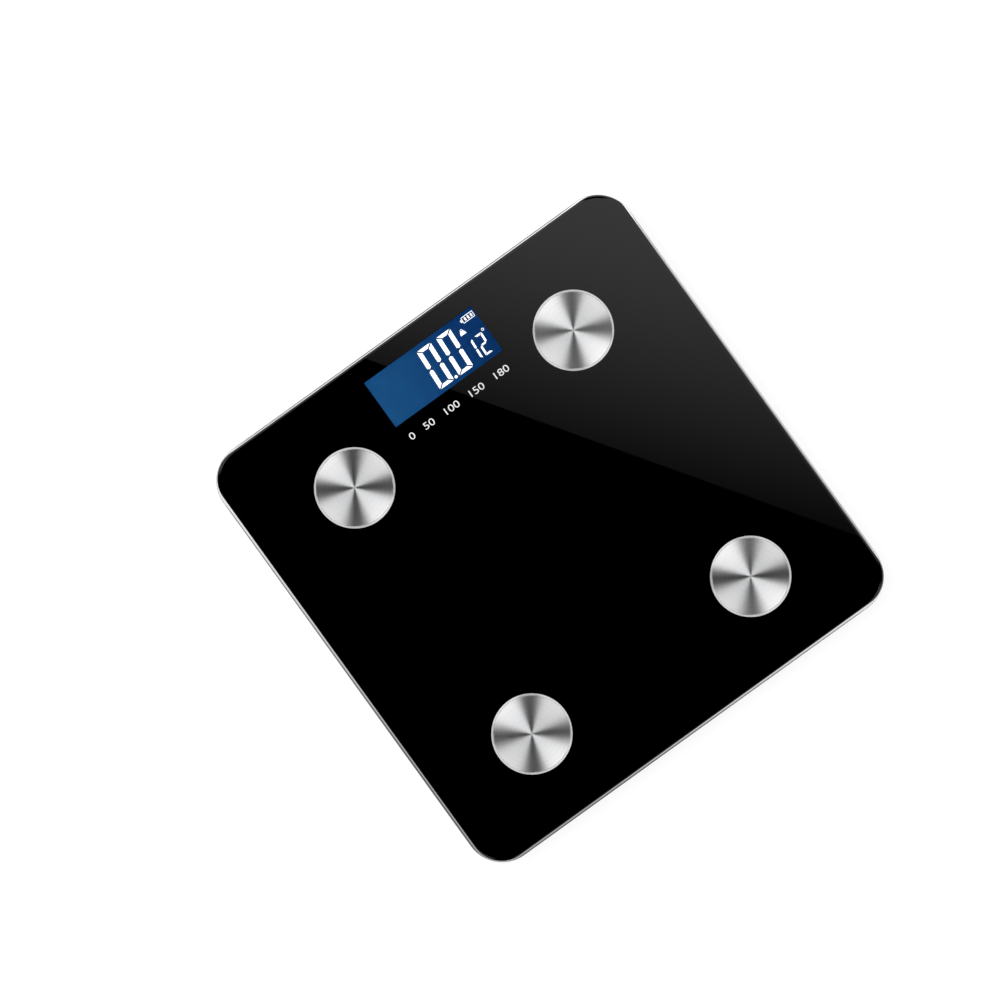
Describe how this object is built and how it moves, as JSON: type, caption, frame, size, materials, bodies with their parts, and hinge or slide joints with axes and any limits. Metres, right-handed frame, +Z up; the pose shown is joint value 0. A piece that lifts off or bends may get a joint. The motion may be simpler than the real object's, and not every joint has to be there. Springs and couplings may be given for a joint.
{
  "type": "digital bathroom scale",
  "caption": "Square glass bathroom scale with spun steel electrodes, a backlit display and a moulded tray on sprung load-cell feet.",
  "frame": {"origin": "centre of the footprint, on the floor that the rubber pads stand on", "axes": "+Z up through the glass, +Y towards the display edge, +X to the user's right when the display is at the far side"},
  "size_m": [0.26, 0.26, 0.025],
  "materials": {
    "clear_glass": "tempered, polished edge",
    "black_print": "screen-printed enamel",
    "foam_tape": "closed-cell foam",
    "spun_steel": "spun, radial sheen",
    "adhesive": "adhesive film",
    "nylon": "natural nylon",
    "nut_zinc": "yellow zinc",
    "contact_brass": "stamped",
    "tray_abs": "fine spark texture",
    "display_blue": "backlit blue display",
    "gasket_foam": "foam",
    "white_plastic": "moulded",
    "contact_rubber": "layered conductive strip",
    "clear_acrylic": "clear light guide",
    "led_phosphor": "side-firing lamp",
    "board_green": "solder mask",
    "component_dark": "moulded",
    "epoxy_black": "epoxy drop",
    "screw_zinc": "zinc plated",
    "button_abs": "satin",
    "silicone_white": "silicone",
    "cell_steel": "nickel-plated spring steel",
    "foot_abs": "moulded",
    "pad_rubber": "moulded rubber",
    "battery_wrap": "wrapped cell",
    "contact_nickel": "nickel plated",
    "lead_blue": "insulated wire",
    "lead_red": "insulated wire",
    "lead_black": "insulated wire"
  },
  "bodies": {
    "scale_body": {"glass_platform": "clear_glass", "glass_back_print": "black_print", "glass_bond_tape": "foam_tape", "electrode_rear_left": "spun_steel", "electrode_rear_right": "spun_steel", "electrode_front_left": "spun_steel", "electrode_front_right": "spun_steel", "electrode_adhesive": "adhesive", "electrode_bushings": "nylon", "electrode_nuts": "nut_zinc", "electrode_ring_terminals": "contact_brass", "base_tray": "tray_abs", "lcd_glass": "display_blue", "lcd_gasket": "gasket_foam", "lcd_holder": "white_plastic", "lcd_contact_strip": "contact_rubber", "backlight_guide": "clear_acrylic", "backlight_diffuser": "white_plastic", "backlight_leds": "led_phosphor", "main_board": "board_green", "board_components": "component_dark", "board_chip": "epoxy_black", "board_screws": "screw_zinc", "unit_switch": "component_dark", "load_cell_rear_left": "cell_steel", "load_cell_rear_right": "cell_steel", "load_cell_front_left": "cell_steel", "load_cell_front_right": "cell_steel", "strain_gauge_sealant": "silicone_white", "load_cell_screws": "screw_zinc", "battery_cell_a": "battery_wrap", "battery_cell_b": "battery_wrap", "battery_springs": "contact_nickel", "battery_link_contact": "contact_nickel", "battery_terminals": "contact_nickel", "load_cell_leads_rear_left": "lead_red", "load_cell_leads_rear_right": "lead_red", "load_cell_leads_front_left": "lead_red", "load_cell_leads_front_right": "lead_red", "electrode_leads": "lead_blue", "battery_lead_positive": "lead_black", "battery_lead_negative": "lead_red"},
    "battery_door": {"battery_door": "tray_abs"},
    "unit_button": {"unit_button": "button_abs", "unit_switch_stem": "nylon"},
    "foot_rear_left": {"foot_cup_rear_left": "foot_abs", "foot_pad_rear_left": "pad_rubber"},
    "foot_rear_right": {"foot_cup_rear_right": "foot_abs", "foot_pad_rear_right": "pad_rubber"},
    "foot_front_left": {"foot_cup_front_left": "foot_abs", "foot_pad_front_left": "pad_rubber"},
    "foot_front_right": {"foot_cup_front_right": "foot_abs", "foot_pad_front_right": "pad_rubber"}
  },
  "joints": [
    {"name": "foot_press_rear_left", "type": "slide", "parent": "scale_body", "child": "foot_rear_left", "axis": [0, 0, 1], "range_m": [0, 0.0004], "stiffness_N_per_m": 2000, "springref_m": -0.003, "deforming": ["load_cell_rear_left"]},
    {"name": "foot_press_rear_right", "type": "slide", "parent": "scale_body", "child": "foot_rear_right", "axis": [0, 0, 1], "range_m": [0, 0.0004], "stiffness_N_per_m": 2000, "springref_m": -0.003, "deforming": ["load_cell_rear_right"]},
    {"name": "foot_press_front_left", "type": "slide", "parent": "scale_body", "child": "foot_front_left", "axis": [0, 0, 1], "range_m": [0, 0.0004], "stiffness_N_per_m": 2000, "springref_m": -0.003, "deforming": ["load_cell_front_left"]},
    {"name": "foot_press_front_right", "type": "slide", "parent": "scale_body", "child": "foot_front_right", "axis": [0, 0, 1], "range_m": [0, 0.0004], "stiffness_N_per_m": 2000, "springref_m": -0.003, "deforming": ["load_cell_front_right"]},
    {"name": "battery_door_hinge", "type": "hinge", "parent": "scale_body", "child": "battery_door", "pos_m": [0, -0.0143, 0.00525], "axis": [-1, 0, 0], "range_deg": [0, 75]},
    {"name": "unit_button_press", "type": "slide", "parent": "scale_body", "child": "unit_button", "axis": [0, 0, 1], "range_m": [0, 0.0003], "stiffness_N_per_m": 5000, "springref_m": -0.00005}
  ]
}
